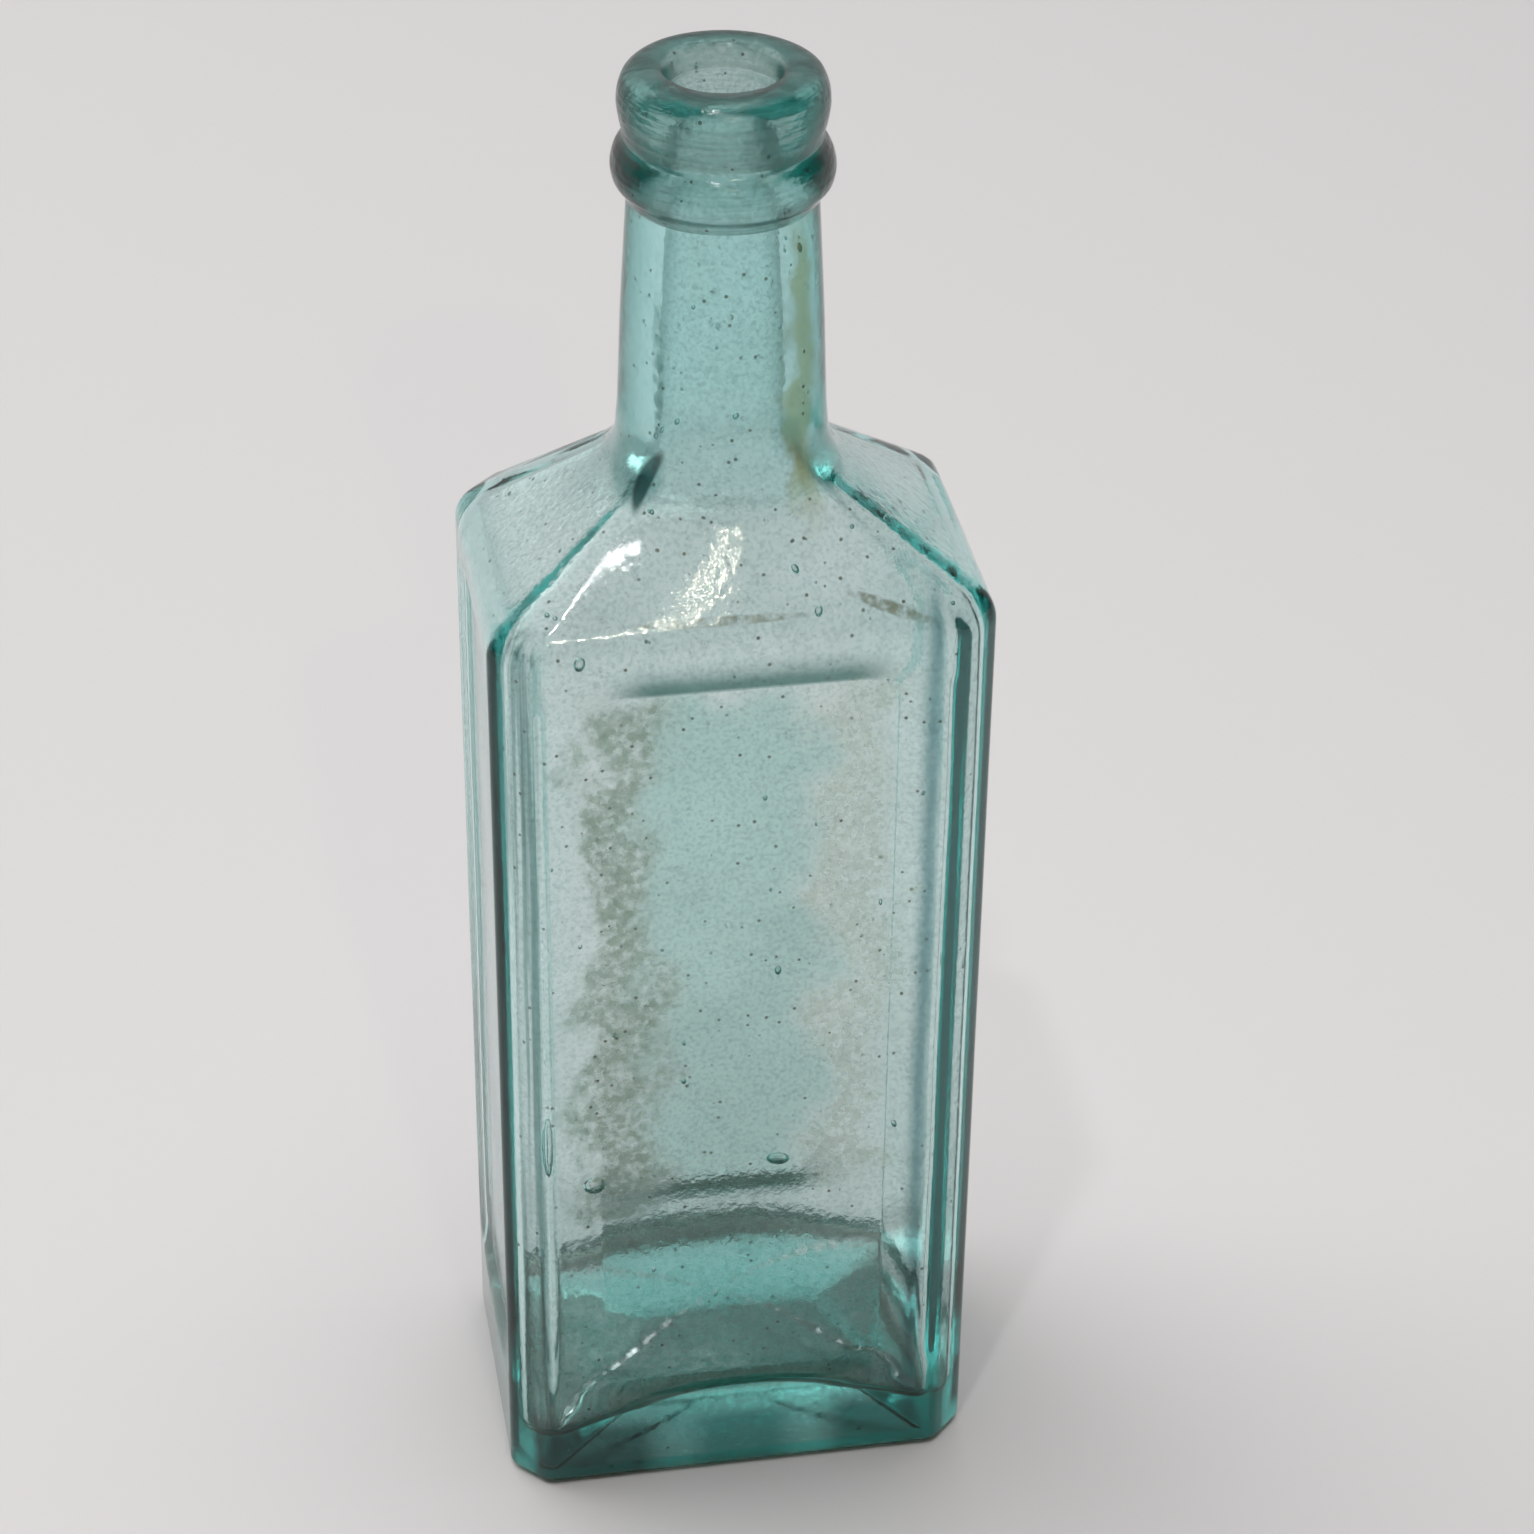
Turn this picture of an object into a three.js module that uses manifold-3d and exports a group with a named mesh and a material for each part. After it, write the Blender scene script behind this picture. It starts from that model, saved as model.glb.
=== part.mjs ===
// Antique apothecary bottle: a mould-blown panelled body with its shoulder and neck in one gather of glass,
// and the tooled lip, a second gather laid round the end of the neck.
// Millimetres, +Z up, origin under the middle of the base, front face towards -Y.
import * as THREE from "three";
import { mergeVertices } from "three/addons/utils/BufferGeometryUtils.js";
import Module from "manifold-3d";

// Body: four walls with cut corners
const bodyWidth = 68.6;
const bodyDepth = 49;
const bodyHeight = 145.5; // to the corner where the walls would meet the sloping shoulder
const cornerCut = 4.9; // leg of each 45 degree corner facet
const wall = 3.3;
const heelRadius = 1.6; // rounding where the walls turn under

// Base: a flat rim round a hipped hollow, and a floor inside that swells towards the middle
const restRim = 4; // width of the flat rim that the bottle stands on
const pushUp = 7; // height of the hollow
const hollowRidge = 0.8; // width of the narrow ridge at the top of the hollow
const floorThickness = 5.5; // glass under the corners of the floor
const floorDome = 9; // how much higher the middle of the floor is
const floorRadius = 4; // rounding between the walls and the floor

// Sunken panels, one in each wall
const panelDepth = 1.2;
const panelSlope = 2; // run of the sloping edge round a panel
const panelFoot = 16; // base to the panel's lower edge
const panelHead = 6.5; // panel's upper edge to the shoulder corner
const frontPanelMargin = 6.9; // corner facet to the panel's edge on the two wide walls
const sidePanelMargin = 6.5; // the same on the two narrow walls
const panelCornerRadius = 2.5;

// Shoulder and neck
const shoulderRise = 15.8;
const shoulderRadius = 6.5; // rounding from wall to shoulder
const rootRadius = 7; // fillet from shoulder to neck
const neckLength = 37; // shoulder to the foot of the lip
const boreRadius = 7.3;
const neckWall = 5.25; // at the foot of the lip
const neckTaper = 1.6; // how much wider the neck is at its root
const boreTaper = 1.1; // how much wider the bore is at the root of the neck

// Lip: a sharp collar below a round bead
const collarHeight = 8.5;
const collarStand = 2.05; // how far the collar stands out from the neck
const collarEdge = 1.1; // how far out its flanks stay straight, below the rounded edge
const beadHeight = 9.2;
const beadStand = 1.2;
const grooveStand = 0.4; // depth of glass over the neck in the groove between the two
const crestWidth = 2; // flat crest round the mouth
const mouthRound = 0.6; // rounding where the crest turns into the bore
const neckEndCover = 3.6; // glass of the lip over the end of the neck
const neckEndWall = 2.8; // wall of the neck at its end
const fuseGap = 0.3; // kept between the two gathers of glass

// Facets and roundness of the outlines
const sideSteps = 4; // per half of a narrow wall
const cutSteps = 3; // per corner facet
const frontSteps = 6; // per half of a wide wall
const arcSteps = 4;
const lipSegments = 48;
const moulded = 70; // sharpness of the outer corners, shaped by the mould
const blown = 14; // sharpness of the inner corners, which the breath leaves rounder

// Heights and radii that follow from the driving dimensions
const lipFoot = bodyHeight + shoulderRise + neckLength;
const mouthHeight = lipFoot + collarHeight + beadHeight;
const neckRadius = boreRadius + neckWall;
const rootNeckRadius = neckRadius + neckTaper;
const neckEnd = mouthHeight - neckEndCover;
const neckEndRadius = boreRadius + neckEndWall;
const shoulderSlope = Math.atan2(shoulderRise, bodyWidth / 2 - rootNeckRadius);
const halfTurn = Math.tan((Math.PI / 2 - shoulderSlope) / 2); // tangent length per radius at both ends of the slope

const wasm = await Module();
wasm.setup();

// A closed geometry as a solid for cutting.
function solidOf(geometry) {
  const bare = geometry.clone();
  bare.deleteAttribute("normal");
  bare.deleteAttribute("uv");
  const merged = mergeVertices(bare, 1e-4);
  return new wasm.Manifold(
    new wasm.Mesh({
      numProp: 3,
      vertProperties: new Float32Array(merged.attributes.position.array),
      triVerts: new Uint32Array(merged.index.array),
    }),
  );
}

// A cut solid back as a geometry.
function geometryOf(solid) {
  const mesh = solid.getMesh();
  const geometry = new THREE.BufferGeometry();
  geometry.setAttribute("position", new THREE.BufferAttribute(mesh.vertProperties, 3));
  geometry.setIndex(new THREE.BufferAttribute(mesh.triVerts, 1));
  geometry.computeVertexNormals();
  return geometry;
}

// Angles of the points round every outline: the two ends of each corner facet are always among them.
function outlineAngles() {
  const facetStart = Math.atan2(bodyDepth / 2 - cornerCut, bodyWidth / 2);
  const facetEnd = Math.atan2(bodyDepth / 2, bodyWidth / 2 - cornerCut);
  const stretches = [
    [0, facetStart, sideSteps],
    [facetStart, facetEnd, cutSteps],
    [facetEnd, Math.PI / 2, frontSteps],
  ];
  const quarter = stretches.flatMap(([from, to, steps]) =>
    Array.from({ length: steps }, (_, i) => from + ((to - from) * i) / steps),
  );
  const half = [...quarter, Math.PI / 2, ...quarter.slice(1).reverse().map((angle) => Math.PI - angle)];
  return [...half, ...half.map((angle) => angle + Math.PI)];
}
const angles = outlineAngles();

// Distance from the axis to the cut-cornered outline, set in from the walls by a distance, at one angle.
function wallDistance(angle, inset, sharpness) {
  const across = Math.abs(Math.cos(angle));
  const along = Math.abs(Math.sin(angle));
  const facetReach = (bodyWidth + bodyDepth) / 2 - cornerCut - Math.SQRT2 * inset;
  const reaches = [
    across / (bodyWidth / 2 - inset),
    along / (bodyDepth / 2 - inset),
    (across + along) / facetReach,
  ];
  const sum = reaches.reduce((total, reach) => total + reach ** sharpness, 0);
  return sum ** (-1 / sharpness);
}

// One outline: cut-cornered where round is 0, a circle of that radius where round is 1.
function outline({ z, inset = 0, scale = 1, round = 0, radius = 0, sharpness = moulded }) {
  return angles.map((angle) => {
    const reach = scale * ((1 - round) * wallDistance(angle, inset, sharpness) + round * radius);
    return new THREE.Vector3(reach * Math.cos(angle), reach * Math.sin(angle), z);
  });
}

// A closed skin through a stack of outlines, fanned to a point on the axis at each end.
function loft(outlines, bottomZ, topZ) {
  const count = angles.length;
  const points = [...outlines.flat(), new THREE.Vector3(0, 0, bottomZ), new THREE.Vector3(0, 0, topZ)];
  const bottom = points.length - 2;
  const top = points.length - 1;
  const lastRow = (outlines.length - 1) * count;
  const index = [];
  for (let i = 0; i < count; i++) {
    const next = (i + 1) % count;
    index.push(bottom, next, i, top, lastRow + i, lastRow + next);
    for (let row = 0; row < lastRow; row += count) {
      index.push(row + i, row + next, row + count + next, row + i, row + count + next, row + count + i);
    }
  }
  return new THREE.BufferGeometry().setFromPoints(points).setIndex(index);
}

// The shoulder's line from a wall to the neck: x is how far it has come in, y the height.
function shoulderLine(startZ, run, startRadius, endRadius) {
  const endZ = startZ + run * Math.tan(shoulderSlope);
  const startTangent = startRadius * halfTurn;
  const endTangent = endRadius * halfTurn;
  const cos = Math.cos(shoulderSlope);
  const sin = Math.sin(shoulderSlope);
  const path = new THREE.Path();
  path.moveTo(0, startZ - startTangent);
  path.quadraticCurveTo(0, startZ, startTangent * cos, startZ + startTangent * sin);
  path.lineTo(run - endTangent * cos, endZ - endTangent * sin);
  path.quadraticCurveTo(run, endZ, run, endZ + endTangent);
  return path.getPoints(arcSteps);
}

// Quarter-round steps between a wall and the base: how far in from the wall, and how high above the base.
function heelSteps(radius) {
  return Array.from({ length: arcSteps + 1 }, (_, i) => {
    const turn = (Math.PI / 2) * (i / arcSteps);
    return { inset: radius * (1 - Math.sin(turn)), rise: radius * (1 - Math.cos(turn)) };
  });
}

// Outside of the body, from the flat base to the end of the neck.
function outerSkin() {
  const heel = heelSteps(heelRadius).map(({ inset, rise }) => outline({ z: rise, inset }));
  const run = bodyWidth / 2 - rootNeckRadius;
  const shoulder = shoulderLine(bodyHeight, run, shoulderRadius, rootRadius).map(({ x, y }) =>
    outline({ z: y, round: x / run, radius: rootNeckRadius }),
  );
  const neck = [
    [lipFoot, neckRadius],
    [neckEnd, neckEndRadius],
  ].map(([z, radius]) => outline({ z, round: 1, radius }));
  return loft([...heel, ...shoulder, ...neck], 0, neckEnd);
}

// Height of the floor inside at a point: low in the corners, where the breath thins the glass most.
function floorHeight(point) {
  const cornerReach = ((bodyWidth + bodyDepth) / 2 - cornerCut) / Math.SQRT2 - wall;
  return floorThickness + floorDome * (1 - (Math.hypot(point.x, point.y) / cornerReach) ** 2);
}

// The hollow inside, from the floor up through the neck.
function innerSkin() {
  const rootBore = boreRadius + boreTaper;
  const blownOutline = (shape) => outline({ ...shape, sharpness: blown });
  const onFloor = (point) => point.setZ(point.z + floorHeight(point));
  const dome = [0.3, 0.6].map((scale) => blownOutline({ z: 0, inset: wall + floorRadius, scale }).map(onFloor));
  const bowl = heelSteps(floorRadius).map(({ inset, rise }) =>
    blownOutline({ z: rise, inset: wall + inset }).map(onFloor),
  );
  const run = bodyWidth / 2 - wall - rootBore;
  const shoulder = shoulderLine(bodyHeight - wall * halfTurn, run, shoulderRadius, rootRadius).map(({ x, y }) =>
    blownOutline({ z: y, inset: wall, round: x / run, radius: rootBore }),
  );
  const pastNeckEnd = neckEnd + neckEndCover;
  const bore = [lipFoot, pastNeckEnd].map((z) => outline({ z, round: 1, radius: boreRadius }));
  return loft([...dome, ...bowl, ...shoulder, ...bore], floorThickness + floorDome, pastNeckEnd);
}

// A rectangle with round corners, centred across and standing on the given height.
function panelOutline(halfWidth, bottom, top) {
  const r = panelCornerRadius;
  const shape = new THREE.Shape();
  shape.moveTo(-halfWidth + r, bottom);
  shape.lineTo(halfWidth - r, bottom);
  shape.absarc(halfWidth - r, bottom + r, r, -Math.PI / 2, 0);
  shape.lineTo(halfWidth, top - r);
  shape.absarc(halfWidth - r, top - r, r, 0, Math.PI / 2);
  shape.lineTo(-halfWidth + r, top);
  shape.absarc(-halfWidth + r, top - r, r, Math.PI / 2, Math.PI);
  shape.lineTo(-halfWidth, bottom + r);
  shape.absarc(-halfWidth + r, bottom + r, r, Math.PI, 1.5 * Math.PI);
  return shape;
}

// A block that sinks a recess to a depth below z = 0: its floor has the given shape, and its edges slope outwards.
function recessBlock(floorShape, depth, slope) {
  return new THREE.ExtrudeGeometry(floorShape, {
    depth,
    bevelThickness: depth,
    bevelSize: slope,
    bevelSegments: 1,
    curveSegments: arcSteps,
  });
}

// The block that sinks one panel into the wall that faces -Y before the turn.
function panelBlock(halfFace, wallPlane, turn) {
  const floor = panelOutline(halfFace - panelSlope, panelFoot + panelSlope, bodyHeight - panelHead - panelSlope);
  const block = recessBlock(floor, panelDepth, panelSlope);
  return block.rotateX(Math.PI / 2).translate(0, -wallPlane, 0).rotateZ(turn);
}

// The block that sinks the hollow under the base: a hipped roof with a narrow ridge along the width.
function hollowBlock() {
  const rim = heelRadius + restRim;
  const slope = bodyDepth / 2 - rim - hollowRidge / 2;
  const ridgeLength = bodyWidth - 2 * (rim + slope);
  const ridge = new THREE.Shape([
    new THREE.Vector2(-ridgeLength / 2, -hollowRidge / 2),
    new THREE.Vector2(ridgeLength / 2, -hollowRidge / 2),
    new THREE.Vector2(ridgeLength / 2, hollowRidge / 2),
    new THREE.Vector2(-ridgeLength / 2, hollowRidge / 2),
  ]);
  return recessBlock(ridge, pushUp, slope).rotateX(Math.PI);
}

// The four panel blocks, each set in from its wall by a distance.
function panelBlocks(inset) {
  const wideHalf = bodyWidth / 2 - cornerCut - frontPanelMargin;
  const narrowHalf = bodyDepth / 2 - cornerCut - sidePanelMargin;
  return [0, 1, 2, 3].map((quarter) => {
    const isWide = quarter % 2 === 0;
    const plane = (isWide ? bodyDepth : bodyWidth) / 2 - inset;
    return solidOf(panelBlock(isWide ? wideHalf : narrowHalf, plane, (quarter * Math.PI) / 2));
  });
}

// Body, shoulder and neck in one piece of glass, its inside following the sunken panels.
function bottleBody() {
  const cavity = panelBlocks(wall).reduce((rest, block) => rest.subtract(block), solidOf(innerSkin()));
  const outside = panelBlocks(0).reduce((rest, block) => rest.subtract(block), solidOf(outerSkin()));
  return geometryOf(outside.subtract(solidOf(hollowBlock())).subtract(cavity));
}

// The lip, turned round the bore: crest, bead, groove and collar outside, and the seat of the neck inside.
function lip() {
  const groove = lipFoot + collarHeight;
  const grooveRadius = neckRadius + grooveStand;
  const beadRadius = neckRadius + beadStand;
  const crestRadius = boreRadius + mouthRound + crestWidth;
  const beadMiddle = groove + beadHeight / 2;
  const seatTop = neckEnd + fuseGap;
  const foot = new THREE.Vector2(neckRadius + fuseGap, lipFoot);
  const waist = new THREE.Vector2(grooveRadius, groove);
  const peak = new THREE.Vector2(neckRadius + 2 * collarStand - collarEdge, lipFoot + collarHeight / 2);
  const towardsPeak = (start) => start.clone().lerp(peak, (neckRadius + collarEdge - start.x) / (peak.x - start.x));
  const lowerEdge = towardsPeak(foot);
  const upperEdge = towardsPeak(waist);
  const profile = new THREE.Path();
  profile.moveTo(boreRadius, seatTop);
  profile.lineTo(neckEndRadius + fuseGap, seatTop);
  profile.lineTo(foot.x, foot.y);
  profile.lineTo(lowerEdge.x, lowerEdge.y);
  profile.quadraticCurveTo(peak.x, peak.y, upperEdge.x, upperEdge.y);
  profile.lineTo(waist.x, waist.y);
  profile.quadraticCurveTo(beadRadius, groove + beadHeight / 5, beadRadius, beadMiddle);
  profile.quadraticCurveTo(beadRadius, mouthHeight, crestRadius, mouthHeight);
  profile.lineTo(boreRadius + mouthRound, mouthHeight);
  profile.quadraticCurveTo(boreRadius, mouthHeight, boreRadius, mouthHeight - mouthRound);
  profile.closePath();
  return new THREE.LatheGeometry(profile.getPoints(arcSteps), lipSegments).rotateX(Math.PI / 2);
}

// Aqua glass, tinted by the iron in the sand.
function aquaGlass() {
  return new THREE.MeshStandardMaterial({
    color: 0x9fcdc6,
    roughness: 0.06,
    metalness: 0,
    transparent: true,
    opacity: 0.45,
  });
}

// One named piece of the bottle.
function piece(name, geometry) {
  const mesh = new THREE.Mesh(geometry, aquaGlass());
  mesh.name = name;
  return mesh;
}

const bottle = new THREE.Group();
bottle.add(piece("bottle_body", bottleBody()));
bottle.add(piece("applied_lip", lip()));

export default bottle;
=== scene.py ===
"""Looks of an antique apothecary bottle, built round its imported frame.

The bottle is two gathers of aqua glass: the mould-blown body with its shoulder and neck, and the lip that was
laid round the end of the neck and tooled. The sizes of the glass and the place of the camera are millimetres.
The marks on the glass, the floor and the lamps are placed in metres, as the finished meshes are.
"""
from __future__ import annotations

import logging
import math
import random
from collections.abc import Iterator, Sequence
from dataclasses import dataclass, field, replace
from enum import Enum
from typing import Union

import bmesh
import bpy
from mathutils import Matrix, Vector, noise

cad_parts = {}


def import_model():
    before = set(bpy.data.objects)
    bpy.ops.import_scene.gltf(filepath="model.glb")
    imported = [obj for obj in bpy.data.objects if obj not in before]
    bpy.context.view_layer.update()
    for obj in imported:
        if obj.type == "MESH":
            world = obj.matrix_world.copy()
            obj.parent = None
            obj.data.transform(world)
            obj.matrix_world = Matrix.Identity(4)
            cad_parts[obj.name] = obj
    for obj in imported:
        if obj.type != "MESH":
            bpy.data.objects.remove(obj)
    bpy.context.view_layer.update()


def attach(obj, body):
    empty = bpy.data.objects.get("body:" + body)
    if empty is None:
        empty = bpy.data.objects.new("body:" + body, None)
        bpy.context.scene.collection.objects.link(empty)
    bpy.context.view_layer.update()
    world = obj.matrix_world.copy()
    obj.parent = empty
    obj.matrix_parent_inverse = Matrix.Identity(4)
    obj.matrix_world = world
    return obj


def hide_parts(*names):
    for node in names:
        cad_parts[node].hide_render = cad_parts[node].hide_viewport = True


LOG = logging.getLogger("apothecary_bottle")
MM = 0.001
SQRT2 = math.sqrt(2)
EIGHTH = math.pi / 8
TOUCH = 1e-6
SEAM = "fused_seam"

Ring = list[Vector]
Pair = tuple[float, float]
Triple = tuple[float, float, float]
Colour = tuple[float, float, float, float]
Socket = bpy.types.NodeSocket
Source = Union[Socket, float, tuple]


class Skin(Enum):
    """The two surfaces of the glass."""

    OUTER = "outer"
    INNER = "inner"


class Grain(Enum):
    """How a stain is broken up."""

    EVEN = "even"
    MOTTLE = "mottle"
    STREAK = "streak"


def mix_rings(first: Ring, second: Ring, share: float) -> Ring:
    """Blends two rings point by point.

    Args:
        first: ring at share 0.
        second: ring at share 1.
        share: how far the blend has gone.

    Returns:
        The blended ring.
    """
    return [a.lerp(b, share) for a, b in zip(first, second)]


def smooth_step(value: float) -> float:
    """Eases a value from 0 to 1."""
    held = min(max(value, 0.0), 1.0)
    return held * held * (3 - 2 * held)


def curved_line(points: Sequence[Pair], steps: int) -> list[Vector]:
    """Draws a smooth line through points.

    Args:
        points: places that the line passes through.
        steps: pieces of line between two of them.

    Returns:
        The places along the line, the ends included.
    """
    knots = [Vector(point) for point in points]
    line = []
    for before, start, end, after in zip([knots[0], *knots], knots, knots[1:], [*knots[2:], knots[-1]]):
        leave = (end - before) / 2
        arrive = (after - start) / 2
        for step in range(steps):
            t = step / steps
            line.append(
                start * (2 * t**3 - 3 * t**2 + 1)
                + leave * (t**3 - 2 * t**2 + t)
                + end * (3 * t**2 - 2 * t**3)
                + arrive * (t**3 - t**2)
            )
    return [*line, knots[-1]]


def bent_corner(start: Vector, corner: Vector, end: Vector, steps: int) -> list[Vector]:
    """Draws a corner as one soft bend.

    Args:
        start: where the bend begins.
        corner: the corner that it cuts.
        end: where the bend ends.
        steps: pieces of the bend.

    Returns:
        The places along the bend, both ends included.
    """
    return [
        start.lerp(corner, step / steps).lerp(corner.lerp(end, step / steps), step / steps)
        for step in range(steps + 1)
    ]


def spread(start: float, end: float, count: int) -> list[float]:
    """Even steps from one value to another, both included."""
    return [start + (end - start) * step / (count - 1) for step in range(count)]


@dataclass(frozen=True)
class Oblong:
    """A cut-cornered oblong about the axis, with rounded edges between its walls and its corner facets."""

    half_width: float
    half_depth: float
    cut: float
    fillet: float

    @property
    def tangent(self) -> float:
        """What a rounded edge takes from each of the two sides that it joins."""
        return self.fillet * math.tan(EIGHTH)

    @property
    def narrow_end(self) -> float:
        """Distance from the middle of a narrow wall to the rounded edge of its facet."""
        return self.half_depth - self.cut - self.tangent

    @property
    def wide_end(self) -> float:
        """Distance from the middle of a wide wall to the rounded edge of its facet."""
        return self.half_width - self.cut - self.tangent

    def inset(self, distance: float) -> Oblong:
        """Sets every wall and facet in.

        Args:
            distance: how far in, square to each of them.

        Returns:
            The smaller outline.
        """
        half_width = self.half_width - distance
        half_depth = self.half_depth - distance
        facet = (self.half_width + self.half_depth - self.cut) / SQRT2 - distance
        return Oblong(half_width, half_depth, half_width + half_depth - SQRT2 * facet, self.fillet)


@dataclass(frozen=True)
class Columns:
    """Where the upright lines of the mesh stand along a quarter of an outline."""

    narrow: tuple[float, ...]
    wide: tuple[float, ...]
    arc_steps: int = 5
    facet_steps: int = 3

    def quarter(self, shape: Oblong) -> list[Pair]:
        """The points of one quarter, from the middle of a narrow wall to the middle of a wide one.

        Args:
            shape: outline that the points lie on.

        Returns:
            The points, both middles included.
        """
        radius = shape.fillet
        turns = [EIGHTH * 2 * step / self.arc_steps for step in range(1, self.arc_steps + 1)]
        facet_start = Vector((shape.half_width, shape.half_depth - shape.cut))
        facet_end = Vector((shape.half_width - shape.cut, shape.half_depth))
        along = (facet_end - facet_start).normalized() * shape.tangent
        points = [(shape.half_width, share * shape.narrow_end) for share in self.narrow]
        points += [
            (shape.half_width - radius * (1 - math.cos(turn)), shape.narrow_end + radius * math.sin(turn))
            for turn in turns
        ]
        points += [
            tuple((facet_start + along).lerp(facet_end - along, step / self.facet_steps))
            for step in range(1, self.facet_steps + 1)
        ]
        points += [
            (shape.wide_end + radius * math.cos(math.pi / 4 + turn),
             shape.half_depth - radius * (1 - math.sin(math.pi / 4 + turn)))
            for turn in turns
        ]
        return points + [(share * shape.wide_end, shape.half_depth) for share in reversed(self.wide[:-1])]

    def ring(self, shape: Oblong, height: float) -> Ring:
        """All points round an outline at one height.

        Args:
            shape: outline that the points lie on.
            height: height of the ring.

        Returns:
            The ring, from the middle of the right wall counter-clockwise.
        """
        quarter = self.quarter(shape)
        half = quarter + [(-x, y) for x, y in reversed(quarter[1:-1])]
        return [Vector((x, y, height)) for x, y in half] + [Vector((-x, -y, height)) for x, y in half]

    @property
    def count(self) -> int:
        """Number of points in a ring."""
        return 4 * (len(self.narrow) + len(self.wide) - 2 + 2 * self.arc_steps + self.facet_steps)


@dataclass(frozen=True)
class SunkPanel:
    """A sunken panel: a flat floor with round corners, and an edge that sweeps up to the wall."""

    half_floor: float
    foot: float
    head: float
    depth: float
    corner: float = 2.5
    side_ease: float = 0.45
    sweep_power: float = 1.25

    def outside(self, along: float, height: float) -> float:
        """How far a place on the wall lies outside the panel's floor, counted slower at its long sides.

        Args:
            along: distance of the place from the middle of the wall.
            height: height of the place.

        Returns:
            The distance, below 0 on the floor.
        """
        across = (abs(along) - self.half_floor) * self.side_ease + self.corner
        upward = abs(height - (self.foot + self.head) / 2) - (self.head - self.foot) / 2 + self.corner
        past_corner = math.hypot(max(across, 0), max(upward, 0))
        return past_corner + min(max(across, upward), 0) - self.corner

    def mould_sink(self, along: float, height: float, sweep: float) -> float:
        """Depth left by the mould: a crisp crease at the floor and a soft run up to the wall."""
        return self.depth * (1 - min(max(self.outside(along, height), 0) / sweep, 1)) ** self.sweep_power

    def blown_sink(self, along: float, height: float, sweep: float) -> float:
        """Depth of the same panel inside the bottle, where the breath leaves it soft."""
        return self.depth * smooth_step(1 - (self.outside(along, height) + sweep / 3) / sweep)


@dataclass
class SkinLoft:
    """A skin that grows ring by ring."""

    count: int
    bm: bmesh.types.BMesh = field(default_factory=bmesh.new)

    def __post_init__(self) -> None:
        """Starts the skin from a plain circle of points."""
        self.column = self.bm.verts.layers.int.new("column")
        self.fused = self.bm.faces.layers.float.new(SEAM)
        circle = bmesh.ops.create_circle(self.bm, cap_ends=False, segments=self.count, radius=1.0)
        self.verts = circle["verts"]
        self.edges = list(self.bm.edges)
        for number, vert in enumerate(self.verts):
            vert[self.column] = number

    def place(self, ring: Ring) -> None:
        """Puts the last row of points on a ring."""
        for vert in self.verts:
            vert.co = ring[vert[self.column]] * MM

    def grow(self, rings: Iterator[Ring], fused: bool = False) -> None:
        """Extrudes the skin through more rings.

        Args:
            rings: rings to pass through, in order.
            fused: whether the new faces lie in the fused seam of the two gathers.
        """
        for ring in rings:
            grown = bmesh.ops.extrude_edge_only(self.bm, edges=self.edges)["geom"]
            self.verts = [item for item in grown if isinstance(item, bmesh.types.BMVert)]
            new = set(self.verts)
            self.edges = [
                item for item in grown if isinstance(item, bmesh.types.BMEdge) and new.issuperset(item.verts)
            ]
            for face in (item for item in grown if isinstance(item, bmesh.types.BMFace)):
                face[self.fused] = float(fused)
            self.place(ring)

    def close(self, verts: list[bmesh.types.BMVert], pole: Vector) -> None:
        """Draws a ring of points together in one pole."""
        bmesh.ops.pointmerge(self.bm, verts=verts, merge_co=pole * MM)


def finished_object(name: str, bm: bmesh.types.BMesh, material: bpy.types.Material) -> bpy.types.Object:
    """Writes a bmesh to a smooth-shaded object whose seam has sharp edges.

    Args:
        name: name of the object and its mesh.
        bm: finished bmesh, freed here.
        material: finish of the piece.

    Returns:
        The object, linked to the scene.
    """
    fused = bm.faces.layers.float.get(SEAM)
    for face in bm.faces:
        face.smooth = True
    for edge in bm.edges:
        if len({face[fused] for face in edge.link_faces}) > 1:
            edge.smooth = False
    mesh = bpy.data.meshes.new(name)
    bm.to_mesh(mesh)
    bm.free()
    mesh.materials.append(material)
    piece = bpy.data.objects.new(name, mesh)
    bpy.context.scene.collection.objects.link(piece)
    return piece


@dataclass(frozen=True)
class Seed:
    """A bubble of air in the glass: its middle, its half sizes, and its lean along the front wall."""

    place: Triple
    half: Triple
    lean: float = 0.0
    segments: int = 8
    rows: int = 6

    def blow(self, bm: bmesh.types.BMesh) -> None:
        """Adds the bubble's skin to a bmesh."""
        matrix = (
            Matrix.Translation(Vector(self.place) * MM)
            @ Matrix.Rotation(math.radians(self.lean), 4, "Y")
            @ Matrix.Diagonal((*(Vector(self.half) * MM), 1))
        )
        bmesh.ops.create_uvsphere(bm, u_segments=self.segments, v_segments=self.rows, radius=1, matrix=matrix)


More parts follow.
